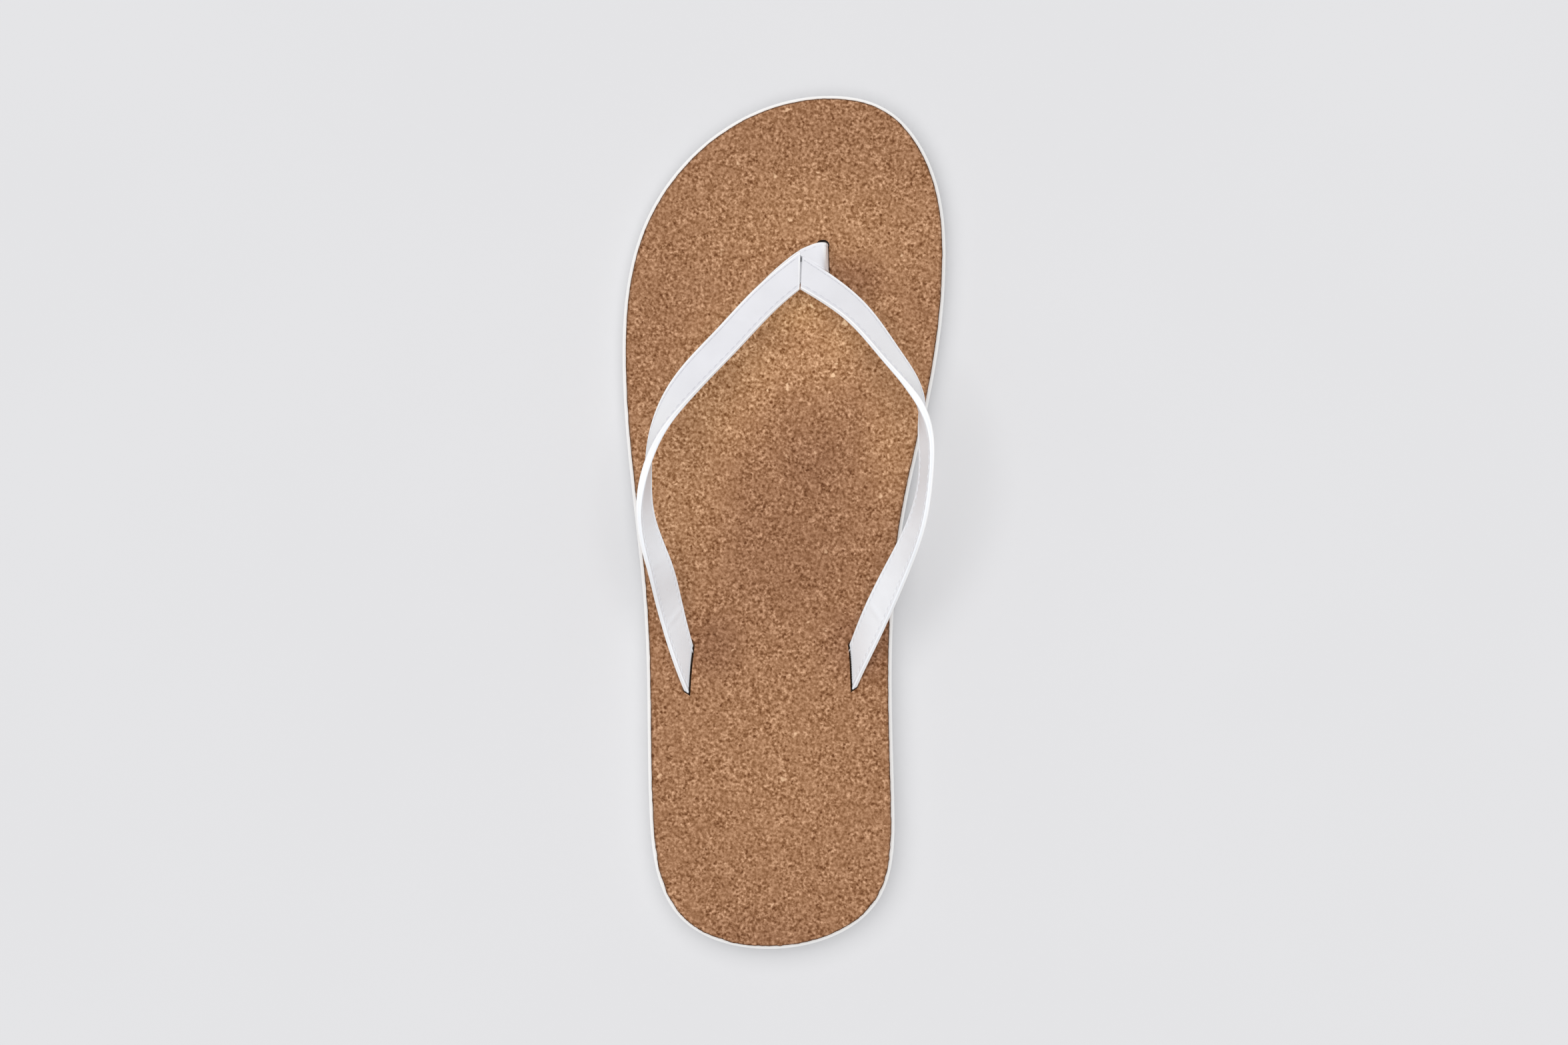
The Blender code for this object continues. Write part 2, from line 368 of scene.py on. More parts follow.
def plate(rings, columns, floor, lid):
    """A closed plate: rings of points from its underside's edge up to its top's edge.

    The underside and the top are rows straight across between the first and the last ring's two
    sides. Floor and lid give the heights of their points as functions of x, y and the distance
    from the edge, and columns says how many steps each takes across.
    """
    count = len(rings[0])
    half = count // 2
    side = np.arange(1, half)
    points = [np.concatenate(rings)]
    faces = [tube_faces(len(rings), count)]
    total = len(points[0])
    for ring, start, height, steps in (
        (rings[0], 0, floor, columns[0]),
        (rings[-1], (len(rings) - 1) * count, lid, columns[1]),
    ):
        part = np.linspace(0, 1, steps + 1)[1:-1, None]
        right, left = ring[side][:, None], ring[count - side][:, None]
        inside = right + (left - right) * part
        x, y = inside[..., 0], inside[..., 1]
        inside[..., 2] = height(x, y, edge_distance(ring, x, y))
        points.append(inside.reshape(-1, 3))
        index = np.arange(x.size).reshape(x.shape) + total
        total += x.size
        index = np.column_stack([start + side, index, start + count - side])
        heel_tip = np.full(steps, start)
        toe_tip = np.full(steps, start + half)
        triangles = np.concatenate([
            np.stack([heel_tip, index[0, 1:], index[0, :-1]], axis=1),
            np.stack([toe_tip, index[-1, :-1], index[-1, 1:]], axis=1),
        ])
        turn = slice(None, None, 1 if start == 0 else -1)
        faces += [grid_faces(index)[:, turn], triangles[:, turn]]
    return np.concatenate(points), faces


def edge_distance(ring, x, y):
    """About how far points on the rows lie inside the ring.

    It joins the distances sideways and lengthways as on a straight slanting edge: their product
    over their hypotenuse.
    """
    half = len(ring) // 2
    inner, outer = ring[: half + 1], np.vstack([ring[half:], ring[:1]])[::-1]
    sideways = np.minimum(
        np.interp(y, inner[:, 1], inner[:, 0]) - x, x - np.interp(y, outer[:, 1], outer[:, 0])
    )
    toe = ring[ring[:, 1] > ring[ring[:, 0].argmax(), 1]]
    heel = ring[ring[:, 1] < HEEL_ENDS]
    toe, heel = toe[toe[:, 0].argsort()], heel[heel[:, 0].argsort()]
    lengthways = np.minimum(
        np.interp(x, toe[:, 0], toe[:, 1]) - y, y - np.interp(x, heel[:, 0], heel[:, 1])
    )
    sideways = np.maximum(sideways, LEAST_DISTANCE)
    lengthways = np.maximum(lengthways, LEAST_DISTANCE)
    return sideways * lengthways / np.hypot(sideways, lengthways)


# Sole: rounded edges, and shallow wavy grooves across its underside inside a plain border.
EDGE_ROUNDING = 1.0
ROUNDING_STEPS = 6
WALL_STEPS = 6
SOLE_COLUMNS = (64, 12)
TREAD_PITCH = 5.2
TREAD_DEPTH = 0.9
TREAD_WAVE = 2.2
TREAD_WAVELENGTH = 19.0
TREAD_BORDER = 5.0
BORDER_BLEND = 1.5
GROOVE_SIDES = (0.45, 0.85)


def tread(x, y, inside):
    """Height of the underside: soft grooves between flat ribs, along waves across the shoe."""
    wave = TREAD_WAVE * np.sin(2 * np.pi * x / TREAD_WAVELENGTH)
    groove = 0.5 + 0.5 * np.cos(2 * np.pi * (y + wave) / TREAD_PITCH)
    within = ease(inside, TREAD_BORDER, TREAD_BORDER + BORDER_BLEND)
    return sole_bottom(y) + TREAD_DEPTH * ease(groove, *GROOVE_SIDES) * within


def add_sole(finish, pockets):
    """Rings round the lower edge, up the plain wall and round the upper edge, then cut.

    Each ring has the height between the two edges' levels for its share of the wall.
    """
    turns = np.linspace(0, np.pi / 2, ROUNDING_STEPS)
    steps = [(turn, 0) for turn in turns]
    steps += [(np.pi / 2, share) for share in np.linspace(0, 1, WALL_STEPS + 1)[1:-1]]
    steps += [(turn, 1) for turn in turns[::-1]]
    rings = []
    for turn, share in steps:
        loop = outline_loop(SOLE_MARGIN - EDGE_ROUNDING * (1 - np.sin(turn)))
        from_level = EDGE_ROUNDING * (1 - np.cos(turn))
        low = sole_bottom(loop[:, 1]) + from_level
        high = sole_top(loop[:, 1]) - from_level
        rings.append(np.column_stack([loop, low + (high - low) * share]))
    points, faces = plate(rings, SOLE_COLUMNS, tread, lambda x, y, inside: sole_top(y))
    sole = add_piece("sole_foam", points, faces, finish, ["sole"])
    cut_with(sole, pockets)


# Footbed: granules stand a little up or down inside its slightly ragged, rounded edge.
CORK_ROUNDING = 0.35
CORK_ROUNDING_STEPS = 4
CORK_SEAT = 0.05
CORK_BEVEL_IN = 0.10
CORK_BEVEL_UP = 0.15
CORK_WALL = (0, 0.35, 0.7, 1)
CORK_COLUMNS = (8, 120)
GRANULE = 1.2
GRANULE_RELIEF = 0.06
GRANULE_BORDER = 0.35
SWELL = 26.0
SWELL_RELIEF = 0.25
LEVEL_BORDER = 1.5
EDGE_DIP = 0.07
EDGE_DIP_WIDTH = 0.8
NICKS = 0.10
HEEL_NICKS = 0.16
HEEL_NICKS_GROW = (-70, -110)
NICK_SIZES = (1.1, 3.7)

# How much painted shade darkens each ring of the cork's edge, from the underside up.
CORK_EDGE_SHADE_RINGS = (0.2, 0.2, 0.2, 0.3, 0.8, 1, 1, 0.3)


def cork_relief(x, y, inside):
    """The cork's top, moved by its granules and a slow swell, and a little lower at its edge."""
    height, border = granule_noise(x, y, GRANULE, seed=4)
    granules = GRANULE_RELIEF * (height - 0.5) * ease(border, 0, GRANULE_BORDER)
    swell = SWELL_RELIEF * (value_noise(x, y, SWELL, seed=5) - 0.5)
    dip = EDGE_DIP * (1 - ease(inside, 0, EDGE_DIP_WIDTH))
    return cork_top(y) + (granules + swell) * ease(inside, 0, LEVEL_BORDER) - dip


def cork_edge(loop):
    """Small nicks round the edge, from two sizes of noise, deeper round the heel."""
    x, y = loop.T
    deep = NICKS + HEEL_NICKS * ease(y, *HEEL_NICKS_GROW)
    small, large = NICK_SIZES
    return deep * (value_noise(x, y, small, seed=6) + value_noise(x, y, large, seed=7) - 1.0)


def add_footbed(finish, slots):
    """Rings from a small bevel under the cut edge, up its wall and round its top, then cut."""
    steps = [(-CORK_BEVEL_IN, 0, -CORK_BEVEL_UP)]
    steps += [(0, share, 0) for share in CORK_WALL]
    for turn in np.linspace(0, np.pi / 2, CORK_ROUNDING_STEPS)[1:]:
        steps.append((-CORK_ROUNDING * (1 - np.cos(turn)), 1, CORK_ROUNDING * np.sin(turn)))
    rings = []
    for margin, share, lift in steps:
        loop = outline_loop(margin, cork_edge)
        low = sole_top(loop[:, 1]) + CORK_SEAT + CORK_BEVEL_UP
        high = cork_top(loop[:, 1]) - CORK_ROUNDING
        rings.append(np.column_stack([loop, low + (high - low) * share + lift]))
    points, faces = plate(
        rings, CORK_COLUMNS, lambda x, y, inside: sole_top(y) + CORK_SEAT, cork_relief
    )
    # The rim attribute carries the painted shade on the rings of the cork's edge.
    rim = np.zeros_like(points)
    rim[: len(rings) * len(rings[0]), 0] = np.repeat(CORK_EDGE_SHADE_RINGS, len(rings[0]))
    footbed = add_piece("footbed_cork", points, faces, finish, ["footbed"], {"rim": rim})
    cut_with(footbed, slots)


# ---- Straps ----

RIBBON_SAMPLES = 1200
CUT_SAMPLES = 400


class Ribbon:
    """A flat band's path, with places on it given along it, across it and out of its face."""

    def __init__(self, rows):
        """Samples a table of x, y, z and tilt, and works out the band's three directions."""
        rows = cubic_through(rows)(np.linspace(0, 1, RIBBON_SAMPLES))
        self.centres = rows[:, :3]
        self.along = unit(np.gradient(self.centres, axis=0))
        level = unit(np.cross((0, 0, 1), self.along))
        up = np.cross(self.along, level)
        tilt = np.radians(rows[:, 3:])
        self.across = np.cos(tilt) * level + np.sin(tilt) * up
        self.face = np.cross(self.along, self.across)
        steps = np.linalg.norm(np.diff(self.centres, axis=0), axis=1)
        self.runs = np.concatenate([[0], np.cumsum(steps)])
        self.length = self.runs[-1]

    def read(self, values, run):
        """The path's values at distances along it, straight between its samples."""
        flat = np.ravel(run)
        read = [np.interp(flat, self.runs, values[:, axis]) for axis in range(3)]
        return np.stack(read, axis=-1).reshape(*np.shape(run), 3)

    def place(self, run, across, out):
        """Points at distances along, across and out of the face, which share one shape."""
        run, across, out = np.broadcast_arrays(run, across, out)
        centre = self.read(self.centres, run)
        sideways = self.read(self.across, run) * across[..., None]
        return centre + sideways + self.read(self.face, run) * out[..., None]

    def run_to(self, across, out, place, direction, within):
        """How far along each lengthwise line of the band crosses a plane near its start."""
        runs = np.linspace(0, within, CUT_SAMPLES)[:, None]
        beyond = (self.place(runs, across, out) - place) @ direction
        after = (beyond < 0).argmax(axis=0)
        line = np.arange(len(across))
        first, second = beyond[after - 1, line], beyond[after, line]
        return runs[after - 1, 0] + (runs[after, 0] - runs[after - 1, 0]) * first / (first - second)


# A band's rim stands round its sunk field, with a stitch groove between the two.
RIM_ROUNDING = 0.4
STITCH_INSET = 1.15
STITCH_GROOVE = 0.07
GROOVE_REACH = 0.12
FIELD_SUNK = 0.08
FIELD_BLEND = 0.3
EDGE_GROOVE = 0.04
EDGE_GROOVE_REACH = 0.1
END_ROUNDING = 0.25

# Where the section's points lie, up from the middle of its side and in from its edge.
SIDE_POINTS = (0, 0.06, 0.14, 0.22)
FACE_POINTS = (0.55, 0.7, 0.9, 1.0, 1.08, 1.15, 1.22, 1.3, 1.45, 1.7)
FIELD_STARTS = 2.2
FIELD_POINTS = 6

# Painted light makes bands a little whiter where they lean over enough, and painted shade darkens
# them from the cork's top down.
STEEP_PAINTED_LIGHT = 0.8
STEEP_LEAN = (0.1, 0.6)
SLOT_PAINTED_SHADE = 2.2
SLOT_FADE = 0.5
CREASE_LIP = 1.2


def band_section(width, thickness):
    """A band's cross-section, as distances across and out, counter-clockwise from its side.

    One quarter is a grooved side, a round corner, and a face that is sunk inside its rim and
    sunk again at the stitch groove. The other three mirror it.
    """
    wide, thick = width / 2, thickness / 2
    side_out = np.array([*SIDE_POINTS, thick - RIM_ROUNDING])
    side_in = EDGE_GROOVE * bell(side_out, 0, EDGE_GROOVE_REACH)
    bend = np.radians(np.arange(15, 90, 15))
    inwards = RIM_ROUNDING * (1 - np.cos(bend))
    outwards = thick - RIM_ROUNDING * (1 - np.sin(bend))
    field = np.linspace(FIELD_STARTS, wide, FIELD_POINTS)
    from_edge = np.concatenate([[RIM_ROUNDING], FACE_POINTS, field])
    sunk = FIELD_SUNK * ease(from_edge, RIM_ROUNDING, RIM_ROUNDING + FIELD_BLEND)
    sunk = sunk + STITCH_GROOVE * bell(from_edge, STITCH_INSET, GROOVE_REACH)
    quarter_across = wide - np.concatenate([side_in, inwards, from_edge])
    quarter_out = np.concatenate([side_out, outwards, thick - sunk])
    across = np.concatenate([quarter_across, -quarter_across[-2::-1]])
    out = np.concatenate([quarter_out, quarter_out[-2::-1]])
    return np.concatenate([across[:-1], -across[:-1]]), np.concatenate([out[:-1], -out[:-1]])


def crease_depth(runs, flat, creases):
    """Sunk lines between raised lips, each a slanting wave that fades along and across."""
    depth = 0 * flat
    for at, slant, deep, wide, from_side, reach in creases:
        away = (runs - at - slant * flat) / wide
        wave = (1 - CREASE_LIP * away**2) * bell(away, 0, 1)
        depth = depth + deep * wave * bell(flat, from_side, reach)
    return depth


def with_middles(grid):
    """Rings of values as one list, followed by the middles of the first and the last ring."""
    return np.concatenate([grid.reshape(-1, 3), grid[:1].mean(axis=1), grid[-1:].mean(axis=1)])


def filled_tube(rings, columns):
    """Faces of a tube, and triangles from its end rings to the two middles after its points."""
    total = rings * columns
    last = total - columns
    ring = np.arange(columns)
    after = np.roll(ring, -1)
    faces = [tube_faces(rings, columns)]
    for middle, first, second in ((total, after, ring), (total + 1, last + ring, last + after)):
        faces.append(np.stack([np.full(columns, middle), first, second], axis=1))
    return faces


def band(ribbon, size, starts, thinned, marked, creases):
    """A closed band: its section carried along the ribbon, with rounded and filled ends.

    Size is its width, its thickness and how many rows it has. Starts is where each of the
    section's lengthwise lines begins. Thinned gives, for places and distances along, how much
    is taken off the face and off the back. Creases bend the whole band. Returns the points, the
    faces and what its material reads: the band's own measures, and marked's marks.
    """
    width, thickness, rows = size
    across, out = band_section(width, thickness)
    starts = starts + 0 * across
    bend = np.radians((0, 30, 60, 90))
    inset = END_ROUNDING * (1 - np.sin(bend))
    from_end = END_ROUNDING * (1 - np.cos(bend))
    part = np.linspace(0, 1, rows)[1:-1]
    near = starts + from_end[:, None]
    far = ribbon.length - from_end[::-1, None] + 0 * starts
    runs = np.concatenate([near, near[-1] + (far[0] - near[-1]) * part[:, None], far])
    inset = np.concatenate([inset, 0 * part, inset[::-1]])[:, None]
    flat = across * (1 - inset / (width / 2))
    lift = out * (1 - inset / (thickness / 2))
    places = ribbon.place(runs, flat, 0)
    off_face, off_back = thinned(places, runs)
    share = np.clip(lift / (thickness / 2), -1, 1)
    lift = lift - np.maximum(share, 0) * off_face + np.maximum(-share, 0) * off_back
    lift = lift - crease_depth(runs, flat, creases)
    points = ribbon.place(runs, flat, lift)

    measures = np.stack([runs, flat * (STRAP_WIDTH / width), lift], axis=-1)
    marks = np.stack(np.broadcast_arrays(*marked(places, runs, flat)), axis=-1)
    # Painted light on steep stretches, and painted shade on what is sunk below the cork.
    steep = ease(1 - np.abs(ribbon.read(ribbon.face, runs)[..., 2]), *STEEP_LEAN)
    sunk = ease(cork_top(points[..., 1]) - points[..., 2], 0, SLOT_FADE)
    marks[..., 1] += STEEP_PAINTED_LIGHT * steep - SLOT_PAINTED_SHADE * sunk
    own = {"band": with_middles(measures), "marks": with_middles(marks)}
    return with_middles(points), filled_tube(*runs.shape), own


# Stitches: short threads in the grooves, with their ends sunk into them.
STITCH_PITCH = 2.5
STITCH_LENGTH = 1.9
STITCH_SLANT = 0.05
STITCH_LIFT = 0.10
STITCH_DIP = 0.12
STITCH_TIP = 0.04
STITCH_RINGS = 7
STITCH_SIDES = 6
THREAD = 0.34

# Where the rows at a band's left and right side begin, and how far before its end they stop.
OUTER_STITCHING = (10.0, 15.0)
INNER_STITCHING = (12.5, 7.5)
STITCHING_STOPS = 8.0


def stitches(ribbon, starts):
    """Rows of stitches down both sides of a strap, on its back and on its face.

    Each stitch is a bent capsule: rings round a line that dips at its two ends, with a radius
    that follows the root of a sine.
    """
    points, faces, measures = [], [], []
    part = np.linspace(0, 1, STITCH_RINGS)[:, None]
    turn = np.linspace(0, 2 * np.pi, STITCH_SIDES, endpoint=False)
    swell = np.sin(np.pi * np.clip(part, STITCH_TIP, 1 - STITCH_TIP)) ** 0.5
    along = (part - 0.5) * STITCH_LENGTH
    radius = THREAD / 2 * swell
    groove = STRAP_THICKNESS / 2 - FIELD_SUNK - STITCH_GROOVE
    height = groove + STITCH_LIFT + STITCH_DIP * (swell - 1)
    size = STITCH_RINGS * STITCH_SIDES
    cap = np.arange(STITCH_SIDES)
    caps = np.stack([cap[::-1], cap + size - STITCH_SIDES])
    tube = tube_faces(STITCH_RINGS, STITCH_SIDES)
    total = 0
    for side, face in [(side, face) for side in (-1, 1) for face in (-1, 1)]:
        start = starts[0] if side < 0 else starts[1]
        centres = np.arange(start, ribbon.length - STITCHING_STOPS, STITCH_PITCH)
        middle = side * (STRAP_WIDTH / 2 - STITCH_INSET) + STITCH_SLANT * along
        run, across, out = np.broadcast_arrays(
            centres[:, None, None] + along,
            middle + radius * np.cos(turn),
            face * height + radius * np.sin(turn),
        )
        first = (np.arange(len(centres)) * size + total)[:, None, None]
        total += len(centres) * size
        faces += [(tube + first).reshape(-1, 4), (caps + first).reshape(-1, STITCH_SIDES)]
        points.append(ribbon.place(run, across, out).reshape(-1, 3))
        measures.append(np.stack([run, across, out], axis=-1).reshape(-1, 3))
    return np.concatenate(points), faces, np.concatenate(measures)


# Creases, along and across a band: where, slant, depth, width, and which part of its width.
OUTER_CREASES = (
    # along, slant, depth, width, off centre, reach
    (30.0, 0.5, 0.10, 1.1, 2.0, 1.8),
    (33.5, -0.4, 0.08, 1.3, -1.0, 2.2),
    (58.0, 0.3, 0.07, 2.2, 0.0, 4.0),
    (118.0, -0.3, 0.08, 2.0, 1.0, 4.0),
    (141.0, 0.2, 0.10, 1.6, 0.0, 4.5),
)
INNER_CREASES = (
    # along, slant, depth, width, off centre, reach
    (64.5, -1.6, 0.16, 2.0, 1.5, 2.6),
    (69.0, -1.2, 0.10, 2.4, 0.5, 2.4),
    (104.0, 0.3, 0.08, 2.0, 0.0, 4.0),
    (132.0, -0.2, 0.10, 1.6, 0.0, 4.5),
)

# The joint: the outer strap ends at the seam, and past a narrow gap the inner strap starts. The
# inner strap lies in a shallow recess of the toe post, which runs on under both. The gap narrows
# from the front to the back, and the recess has a deeper pit at its front.
SEAM_GAP = 0.85
SEAM_FRONT = 79.7
SEAM_SIDE = (-1.0, 0.082, 0.0)
SEAM_WITHIN = 30.0
RECESS = 0.6
RECESS_EDGE = (5.0, 79.7)
RECESS_OUTWARDS = (0.498, 0.867)
RECESS_SIDE = (4.3, SEAM_X)
PIT = 0.5
PIT_FRONT = 78.3
PIT_SIDE = (5.3, 5.8)

# How much the outer strap and the toe post are pared, and from where to where along them.
PARED = 0.35
OUTER_PARED = (14, 30)
POST_START_PARED = 0.2
POST_START = (3, 9)

# Where the straps are bunched up as they turn over: along, reach and how much thicker.
OUTER_TURN = (88, 12, 0.65)
INNER_TURN = (64, 9, 0.7)
POST_FOLD = 28.6


def past_recess(places):
    """How far places lie in front of the recess's front edge."""
    return (places[..., :2] - RECESS_EDGE) @ RECESS_OUTWARDS


def outer_thinned(_, run):
    """The outer strap is pared from below at the joint, and bunched up where it turns over."""
    at, reach, thicker = OUTER_TURN
    return 0 * run, PARED * (1 - ease(run, *OUTER_PARED)) - thicker * bell(run, at, reach)


def inner_thinned(_, run):
    """The inner strap is bunched up where it turns over."""
    at, reach, thicker = INNER_TURN
    return 0 * run, -thicker * bell(run, at, reach)


def post_thinned(places, run):
    """The toe post is pared under the outer strap, and has the recess for the inner strap."""
    x, y = places[..., 0], places[..., 1]
    past = past_recess(places)
    beside = ease(x, *RECESS_SIDE)
    hidden = PARED * (1 - ease(x, SEAM_X - 0.3, SEAM_X - 0.05))
    recess = RECESS * (1 - ease(past, -0.4, 0.0)) * beside
    pit = PIT * ease(y, PIT_FRONT - 0.4, PIT_FRONT) * (1 - ease(x, *PIT_SIDE))
    pit = pit * (1 - ease(past, -0.6, -0.3)) * beside
    return hidden + recess + pit, POST_START_PARED * (1 - ease(run, *POST_START))


# Marks are for the straps' material: how much of the rim shows, how much whiter it is, from white
# edges and painted highlights, or, below 0, how much darker, from painted shade, and how much the
# stitching shows.
def outer_marks(places, _, flat):
    """Rims, a white end beside the seam, and stitching that shows most at the front edge."""
    end = 1 - ease(SEAM_X - places[..., 0], 0.35, 0.5)
    return 1.0, end * ease(places[..., 1], 60, 65), ease(-flat, -1.0, 1.0)


def inner_marks(places, _, flat):
    """Rims, of which the front one fades over the joint, and stitching at the front edge."""
    front = ease(flat, 1.0, 3.0)
    return 1 - front * (1 - ease(places[..., 0], 12.0, 14.0)), 0.0, front


def post_marks(places, run, flat):
    """A painted highlight along the fold where the toe post turns down, and painted shade on the
    floor under the gap.
    """
    x, y = places[..., 0], places[..., 1]
    fold_highlight = bell(run, POST_FOLD, 0.5)
    gap = (1 - ease(past_recess(places), -0.3, 0.0)) * ease(x, 4.4, 4.7) * (1 - ease(x, 6.0, 6.3))
    shade = gap * (0.45 + 0.45 * ease(y, PIT_FRONT - 0.6, PIT_FRONT - 0.2))
    return 1.0, fold_highlight - shade, 0.7 * ease(flat, 1.0, 3.0)


# Width, thickness and rows along it, for a strap and for the toe post.
STRAP = (STRAP_WIDTH, STRAP_THICKNESS, 360)
POST = (POST_WIDTH, POST_THICKNESS, 240)


def add_straps(leather, thread):
    """The two straps, cut at the seam and the gap, the toe post and the stitching."""
    outer, inner, post = Ribbon(OUTER_STRAP), Ribbon(INNER_STRAP), Ribbon(TOE_POST)
    across, out = band_section(STRAP_WIDTH, STRAP_THICKNESS)
    outer_cut = outer.run_to(across, out, (SEAM_X, 0, 0), (1, 0, 0), SEAM_WITHIN)
    gap_edge = (SEAM_X + SEAM_GAP, SEAM_FRONT, 0)
    inner_cut = inner.run_to(across, out, gap_edge, SEAM_SIDE, SEAM_WITHIN)
    bands = {
        "strap_outer": band(outer, STRAP, outer_cut, outer_thinned, outer_marks, OUTER_CREASES),
        "strap_inner": band(inner, STRAP, inner_cut, inner_thinned, inner_marks, INNER_CREASES),
        "toe_post": band(post, POST, 0, post_thinned, post_marks, ()),
    }
    for name, (points, faces, own) in bands.items():
        add_piece(name, points, faces, leather, ["upper"], own)
    for name, (points, faces, measures) in {
        "stitching_outer": stitches(outer, OUTER_STITCHING),
        "stitching_inner": stitches(inner, INNER_STITCHING),
    }.items():
        add_piece(name, points, faces, thread, (), {"band": measures})
    return outer, inner, post


# Slots round the strap ends: how long they are, and how much wider at each side, in front of
# the face and behind the back.
STRAP_SLOT = (30.0, 0.45, 0.25, 0.55)
POST_SLOT = (12.5, 0.35, 0.15, 0.3)
SLOT_DEEPER = 0.7
SLOT_ROWS = 24


def add_cutter(name, rings, count):
    """A closed tube through rings of so many points, which is only used to cut with."""
    points = np.concatenate(rings)
    ring = np.arange(count)
    faces = tube_faces(len(rings), count).tolist()
    faces += [ring[::-1].tolist(), (ring + len(points) - count).tolist()]
    mesh = bpy.data.meshes.new(name)
    mesh.from_pydata((points * MM).tolist(), [], faces)
    return add_object(name, mesh)


def slot_cutter(name, ribbon, size, slot):
    """A plain bar round the last stretch of a band, a little longer than the band."""
    width, thickness = size[:2]
    length, side, front, back = slot
    across = np.array([1, 1, -1, -1]) * (width / 2 + side)
    out = np.array([-back, front, front, -back]) + np.array([-1, 1, 1, -1]) * thickness / 2
    runs = np.linspace(ribbon.length - length, ribbon.length, SLOT_ROWS)[:, None]
    rings = ribbon.place(runs, across, out)
    tip = rings[-1] + ribbon.along[-1] * SLOT_DEEPER
    return add_cutter(name, [*rings, tip], 4)


# The toe post's hole in the cork is a little long, and shows past the post's front edge.
HOLE_MIDDLE = (11.7, 83.7)
HOLE_RADII = (2.0, 1.6)
HOLE_DEPTH = 6.0
HOLE_ABOVE = 2.0
HOLE_SIDES = 40


def hole_cutter(name):
    """An upright oval bar."""
    angle = np.linspace(0, 2 * np.pi, HOLE_SIDES, endpoint=False)
    loop = np.stack([np.cos(angle), np.sin(angle)], axis=1) * HOLE_RADII + HOLE_MIDDLE
    top = cork_top(HOLE_MIDDLE[1])
    levels = (top - HOLE_DEPTH, top + HOLE_ABOVE)
    rings = [np.column_stack([loop, np.full(HOLE_SIDES, level)]) for level in levels]
    return add_cutter(name, rings, HOLE_SIDES)


# ---- Material helpers ----


def feed(tree, socket, value):
    """Links another node's output to a socket, or sets the socket's own value."""
    if isinstance(value, bpy.types.NodeSocket):
        tree.links.new(value, socket)
    else:
        socket.default_value = value


def node(tree, kind, inputs=None, **settings):
    """A shader node with its settings, and with each named input linked or set."""
    made = tree.nodes.new("ShaderNode" + kind)
    for key, value in settings.items():
        setattr(made, key, value)
    for key, value in (inputs or {}).items():
        feed(tree, made.inputs[key], value)
    return made


def calculate(tree, operation, *values):
    """One step of arithmetic on numbers."""
    return node(tree, "Math", dict(enumerate(values)), operation=operation).outputs[0]


def multiply(tree, value, by, plus=0.0):
    """A number times another, and what is added to that."""
    return calculate(tree, "MULTIPLY_ADD", value, by, plus)


def calculate_vector(tree, operation, *values):
    """One step of arithmetic on vectors."""
    return node(tree, "VectorMath", dict(enumerate(values)), operation=operation).outputs[0]


def on_each_axis(tree, value):
    """A vector or a colour with the same number three times."""
    return node(tree, "CombineXYZ", {axis: value for axis in "XYZ"}).outputs[0]


def blend_colours(tree, share, first, second, mode="MIX"):
    """First, changed towards second by share."""
    made = node(tree, "Mix", data_type="RGBA", blend_type=mode)
    feed(tree, made.inputs[0], share)
    for place, colour in ((6, first), (7, second)):
        feed(tree, made.inputs[place], (*colour, 1) if isinstance(colour, tuple) else colour)
    return made.outputs[2]


def rescale(tree, value, low, high, to_low=0.0, to_high=1.0):
    """Value's range moved smoothly to another range, and held at its ends."""
    inputs = {"Value": value, "From Min": low, "From Max": high}
    inputs.update({"To Min": to_low, "To Max": to_high})
    return node(tree, "MapRange", inputs, interpolation_type="SMOOTHSTEP").outputs[0]


def mottle(tree, colour, tone, darkest, palest):
    """A colour made darker and brighter by a slow noise."""
    tone = on_each_axis(tree, rescale(tree, tone, 0.25, 0.75, darkest, palest))
    return blend_colours(tree, 1.0, colour, tone, mode="MULTIPLY")


def noise(tree, place, scale, detail):
    """Smooth noise round 0.5, as a number and as a colour."""
    return node(tree, "TexNoise", {"Vector": place, "Scale": scale, "Detail": detail}).outputs


def shader_group(name, outputs, **inputs):
    """A node group with a position and the float or vector inputs given with their defaults."""
    tree = bpy.data.node_groups.new(name, "ShaderNodeTree")
    for key, value in {"Position": (0.0, 0.0, 0.0), **inputs}.items():
        kind = "NodeSocketVector" if isinstance(value, tuple) else "NodeSocketFloat"
        socket = tree.interface.new_socket(key, in_out="INPUT", socket_type=kind)
        socket.default_value = value
    for key in outputs:
        tree.interface.new_socket(key, in_out="OUTPUT", socket_type="NodeSocketFloat")
    given = tree.nodes.new("NodeGroupInput").outputs
    return tree, given, tree.nodes.new("NodeGroupOutput").inputs


def use_group(tree, group, **inputs):
    """A shared effect's outputs, with its inputs linked or set."""
    return node(tree, "Group", inputs, node_tree=bpy.data.node_groups[group]).outputs


def position_in_mm(tree):
    """The place on the shoe, from its Object coordinates."""
    place = node(tree, "TexCoord").outputs["Object"]
    return calculate_vector(tree, "MULTIPLY", place, (1 / MM, 1 / MM, 1 / MM))


def own_values(tree, name):
    """A piece's own attribute, three values at each point."""
    return node(tree, "Attribute", attribute_name=name).outputs["Vector"]


def three_parts(tree, vector):
    """A vector's X, Y and Z."""
    return node(tree, "SeparateXYZ", {"Vector": vector}).outputs


def new_material(name):
    """A material, its nodes and its surface shader's inputs."""
    made = bpy.data.materials.new(name)
    made.use_nodes = True
    tree = made.node_tree
    return made, tree, tree.nodes["Principled BSDF"].inputs


def connect(tree, sockets, **values):
    """Links or sets a shader's or a group's sockets, whose names are given with underscores."""
    for key, value in values.items():
        feed(tree, sockets[key.replace("_", " ")], value)


def relief(tree, height, depth):
    """A bump from a height of 0 to 1 that stands for a depth in millimetres."""
    inputs = {"Height": height, "Distance": depth * MM, "Strength": 1.0}
    return node(tree, "Bump", inputs).outputs[0]


# ---- Shared effects ----


